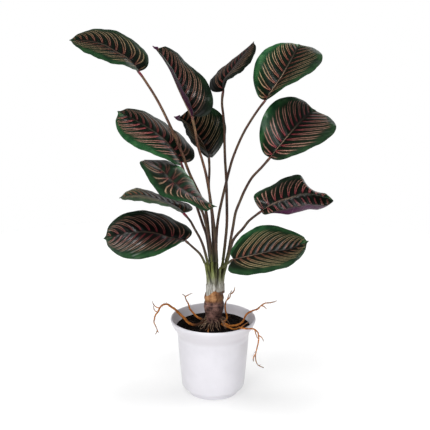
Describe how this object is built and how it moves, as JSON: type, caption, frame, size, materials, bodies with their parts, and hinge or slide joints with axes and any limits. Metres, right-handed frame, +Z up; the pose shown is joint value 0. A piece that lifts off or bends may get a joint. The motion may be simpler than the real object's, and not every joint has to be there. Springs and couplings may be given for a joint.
{
  "type": "potted calathea plant",
  "caption": "Pinstripe calathea in a plain flared pot: striped oval leaves on long slim stalks, a swollen corm and curling surface roots.",
  "frame": {"origin": "centre of the pot's flat underside, on the surface that it stands on", "axes": "+Z up along the pot's axis, -Y towards the viewer of the picture, +X to the viewer's right"},
  "size_m": [0.416, 0.2256, 0.603],
  "materials": {
    "pot_plastic": "white, satin gloss, faintly lilac in shade",
    "soil": "moist dark potting mix with bark crumbs",
    "corm_skin": "dull corky skin, tan above and purple brown below",
    "leaf_sheath": "smooth leaf tissue, whitish below and olive above",
    "petiole": "smooth brown stalk with a soft sheen",
    "leaf_blade": "dark green with fine paired pink stripes above, deep purple below, satin",
    "root_bark": "dull orange brown bark"
  },
  "bodies": {
    "root": {"pot": "pot_plastic", "soil": "soil", "corm": "corm_skin", "crown_sheaths": "leaf_sheath", "petiole_top_left": "petiole", "petiole_upper_left": "petiole", "petiole_top_centre": "petiole", "petiole_top_right": "petiole", "petiole_right": "petiole", "petiole_lower_right": "petiole", "petiole_bottom_right": "petiole", "petiole_centre": "petiole", "petiole_left_upper": "petiole", "petiole_left_middle": "petiole", "petiole_left_lower": "petiole", "petiole_bottom_left": "petiole", "blade_top_left": "leaf_blade", "blade_upper_left": "leaf_blade", "blade_top_centre": "leaf_blade", "blade_top_right": "leaf_blade", "blade_right": "leaf_blade", "blade_lower_right": "leaf_blade", "blade_bottom_right": "leaf_blade", "blade_centre": "leaf_blade", "blade_left_upper": "leaf_blade", "blade_left_middle": "leaf_blade", "blade_left_lower": "leaf_blade", "blade_bottom_left": "leaf_blade", "root_left": "root_bark", "root_back_left": "root_bark", "root_back_right": "root_bark", "root_right": "root_bark", "root_over_rim": "root_bark", "root_front": "root_bark"}
  },
  "joints": []
}
